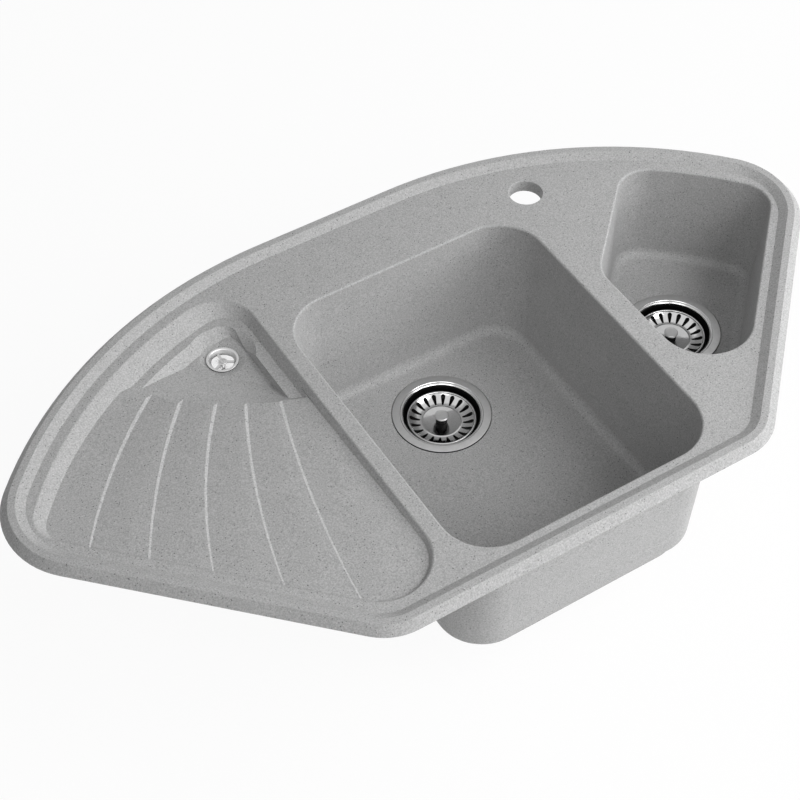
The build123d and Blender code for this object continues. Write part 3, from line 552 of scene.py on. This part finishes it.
def waste_mesh(name):
    """Funnel with flange, stiffening ribs and a threaded outlet."""
    bm = bmesh.new()
    lathe_into(bm, soften(FUNNEL, FUNNEL_RADII, 4), WASTE_FACETS)
    rows = int((THREAD_TOP - THREAD_END) / THREAD_PITCH * THREAD_RINGS)
    tube = []
    for i in range(rows + 1):
        z = THREAD_TOP - (THREAD_TOP - THREAD_END) * i / rows
        row = []
        for k in range(WASTE_FACETS):
            r = thread_radius(z, k / WASTE_FACETS) * MM
            a = around(k, WASTE_FACETS)
            row.append(bm.verts.new((r * math.cos(a), r * math.sin(a), z * MM)))
        tube.append(row)
    tube += [ring_into(bm, OUTLET_BORE, z, WASTE_FACETS) for z in (THREAD_END, THREAD_TOP)]
    for low, high in zip(tube, tube[1:] + tube[:1]):
        for k in range(WASTE_FACETS):
            n = (k + 1) % WASTE_FACETS
            bm.faces.new((low[k], low[n], high[n], high[k]))
    hub = [(SCREW_BORE, -23.4), (9.0, -23.4), (9.0, -42.0), (SCREW_BORE, -42.0)]
    lathe_into(bm, soften(hub, [0, 0.3, 0.6, 0.3], 3), 48)
    for k in range(HUB_RIBS):
        block_into(bm, (8.0, -1.5, -42.0), (27.5, 1.5, -26.5), 360 / HUB_RIBS * k)
    for k in range(FUNNEL_RIBS):
        for v in block_into(bm, (25.0, -1.0, -44.0), (48.0, 1.0, -21.0), 360 / FUNNEL_RIBS * k):
            away = math.hypot(v.co.x, v.co.y)
            if v.co.z < -RIB_BEND * MM and away > RIB_BEND * MM:
                v.co.x *= RIB_FOOT_R * MM / away
                v.co.y *= RIB_FOOT_R * MM / away
    return to_mesh(bm, name)


CLAMP_SCREW = {
    "head_r": 6.0, "head_h": 2.2, "shank_r": 3.0, "length": 23.4, "pitch": 1.0,
    "turns": (0.0,), "slot_l": 13.2, "slot_w": 1.4, "slot_deep": 1.2,
}
CLAMP_SCREW_AT = Vector((0, 0, -22.6))

for bowl, place in (("main", MAIN_DRAIN), ("side", SIDE_DRAIN)):
    # Name, mesh, body, material, slot and the CAD node that it stands for
    pieces = (
        ("cup", cup_mesh("cup"), "sink", FLANGE_STEEL, "steel", "strainer_cup"),
        ("basket_dish", basket_mesh("dish"), f"{bowl}_basket", BRIGHT_STEEL, "polished_steel", "basket"),
        ("seal", seal_mesh("seal"), f"{bowl}_basket", RUBBER, "dark_rubber", "basket_seal"),
        ("stem", stem_mesh("stem"), f"{bowl}_basket", BLACK_PLASTIC, "black_plastic", "basket_stem"),
        ("knob", knob_mesh("knob"), f"{bowl}_basket", FLANGE_STEEL, "steel", "basket_knob"),
        ("waste", waste_mesh("waste"), "sink", WHITE_PLASTIC, "white_plastic", "waste_body"),
    )
    for name, mesh, body, material, slot, node in pieces:
        add_piece(f"{bowl}_{name}", mesh, place, body, material, [f"{bowl}_{node}"])
    add_piece(f"{bowl}_clamp_screw", screw_mesh("screw", **CLAMP_SCREW), place + CLAMP_SCREW_AT, "sink",
              SCREW_STEEL, ["fixing_screws"])
    dress(f"{bowl}_flange_gasket", RUBBER)
    dress(f"{bowl}_lower_gasket", RUBBER)


# ---- Overflow fitting, levels over the rosette's seat ----
SPOKES = 3
SPOKE_TURN = -32.0
RING_R = 17.4
# Up to the first of these levels the ring's outer side gets near-black steel, a painted shadow of the gap
# round the ring
PAINTED_SHADOW_TOP, LIP_FOOT = 1.2, 1.3
CROSS_SCREW = {
    "head_r": 3.3, "head_h": 1.2, "shank_r": 2.0, "length": 20.0, "pitch": 0.8,
    "turns": (0.0, 90.0), "slot_l": 4.6, "slot_w": 0.9, "slot_deep": 0.8,
}
CROSS_SCREW_AT = Vector((0, 0, -1.6))


def rosette_mesh(name):
    """Ring with a bright lip, a painted shadow on its outer edge, a conical inner wall, three spokes and a
    hub.
    """
    ring = soften(
        [(RING_R, 0.0), (RING_R, 1.6), (14.9, 1.6), (14.2, 0.9), (11.9, -3.0), (12.6, -3.0), (13.9, 0.0)],
        [0.15, 0.5, 0.5, 0.3, 0.3, 0.2, 0.3], 5)

    def number(a, b):
        z = (a[1] + b[1]) / 2
        # Coat 2 on the outer side is a painted shadow of the gap round the ring
        if max(a[0], b[0]) > RING_R - 0.1 and z < PAINTED_SHADOW_TOP:
            return 2
        return 1 if z > LIP_FOOT else 0

    bm = bmesh.new()
    lathe_into(bm, ring, ROUND, number)
    lathe_into(bm, soften([(2.25, -3.0), (4.6, -3.0), (4.6, -1.7), (4.2, -1.4), (2.25, -1.4)], 0.25, 3), 64)
    for k in range(SPOKES):
        block_into(bm, (3.6, -1.35, -3.0), (12.1, 1.35, -1.6), SPOKE_TURN + 360 / SPOKES * k)
    return to_mesh(bm, name, (FLANGE_STEEL, SATIN_STEEL, PAINTED_SHADE_STEEL))


add_piece("overflow_ring", rosette_mesh("ring"), OVERFLOW, "sink", SATIN_STEEL,
          ["overflow_rosette"])
add_piece("overflow_cross_screw", screw_mesh("cross", **CROSS_SCREW), OVERFLOW + CROSS_SCREW_AT, "sink",
          SCREW_STEEL, ["overflow_screw"])

for node in ("sink_body", "main_bowl_shell", "side_bowl_shell", "drainer_tray"):
    dress(node, COMPOSITE)
dress("overflow_gasket", RUBBER)
dress("overflow_body", MILKY_PLASTIC)
dress("fixing_nuts", SCREW_STEEL)


# ---- Floor, world and lamps ----
FLOOR_Z = -0.2268  # just under the main outlet
FLOOR_HALF = 9.0
FLOOR_LIFT = 0.94
WORLD_LIGHT = 0.15
WHITE = (1.0, 1.0, 1.0, 1.0)


def pale_floor():
    """White floor that keeps the shadow; what the camera, gloss and glass see of it is lifted."""
    g = Graph("pale_floor", Roughness=0.9, Specular_IOR_Level=0.1)
    g.finish(Base_Color=g.mix(g.spread(g.noise(3.0, 2.0), 0.3, 0.7), 0.88, 0.9))
    glow = g.node("ShaderNodeEmission", {"Color": 1.0, "Strength": 1.0})
    path = g.node("ShaderNodeLightPath")
    seen = g.math("MAXIMUM", path.outputs["Is Camera Ray"], path.outputs["Is Glossy Ray"])
    seen = g.math("MAXIMUM", seen, path.outputs["Is Transmission Ray"])
    share = g.math("MULTIPLY", seen, FLOOR_LIFT)
    both = g.node("ShaderNodeMixShader", {0: share, 1: g.shader.outputs[0], 2: glow.outputs[0]})
    g.tree.links.new(both.outputs[0], g.tree.nodes["Material Output"].inputs["Surface"])
    return g.material


sheet = bpy.data.meshes.new("floor")
corners = ((-1, -1), (1, -1), (1, 1), (-1, 1))
sheet.from_pydata([(x * FLOOR_HALF, y * FLOOR_HALF, FLOOR_Z) for x, y in corners], [], [(0, 1, 2, 3)])
sheet.materials.append(pale_floor())
floor = bpy.data.objects.new("floor", sheet)
bpy.context.scene.collection.objects.link(floor)

# The world lights weakly, and shows white to the camera, gloss and glass
world = bpy.data.worlds.new("studio")
bpy.context.scene.world = world
world.use_nodes = True
nodes, links = world.node_tree.nodes, world.node_tree.links
dim = nodes["Background"]
bright = nodes.new("ShaderNodeBackground")
for background, strength in ((dim, WORLD_LIGHT), (bright, 1.0)):
    background.inputs["Color"].default_value = WHITE
    background.inputs["Strength"].default_value = strength
rays = nodes.new("ShaderNodeLightPath")
seen = rays.outputs["Is Camera Ray"]
for kind in ("Is Transmission Ray", "Is Glossy Ray"):
    either = nodes.new("ShaderNodeMath")
    either.operation = "MAXIMUM"
    links.new(seen, either.inputs[0])
    links.new(rays.outputs[kind], either.inputs[1])
    seen = either.outputs[0]
choose = nodes.new("ShaderNodeMixShader")
links.new(seen, choose.inputs[0])
links.new(dim.outputs[0], choose.inputs[1])
links.new(bright.outputs[0], choose.inputs[2])
links.new(choose.outputs[0], nodes["World Output"].inputs["Surface"])

AIM = Vector((-0.2, -0.17, 0.0))
LAMP_AWAY = 2.5
LAMP_SIZE = 1.3

# Name, bearing from +X, angle up and power of each round soft lamp
LAMPS = (
    ("key_low", -45.0, 20.0, 24.0),
    ("key_high", -45.0, 50.0, 20.5),
    ("right_low", 0.0, 20.0, 15.6),
    ("left_high", -135.0, 50.0, 8.5),
    ("front", -90.0, 38.0, 15.5),
    ("back_right", 45.0, 20.0, 3.6),
)
for name, bearing, height, watts in LAMPS:
    data = bpy.data.lights.new(name, "AREA")
    data.shape = "DISK"
    data.size = LAMP_SIZE
    data.energy = watts
    lamp = bpy.data.objects.new(name, data)
    a, e = math.radians(bearing), math.radians(height)
    away = Vector((math.cos(a) * math.cos(e), math.sin(a) * math.cos(e), math.sin(e)))
    lamp.location = AIM + away * LAMP_AWAY
    lamp.rotation_mode = "QUATERNION"
    lamp.rotation_quaternion = (-away).to_track_quat("-Z", "Y")
    bpy.context.scene.collection.objects.link(lamp)
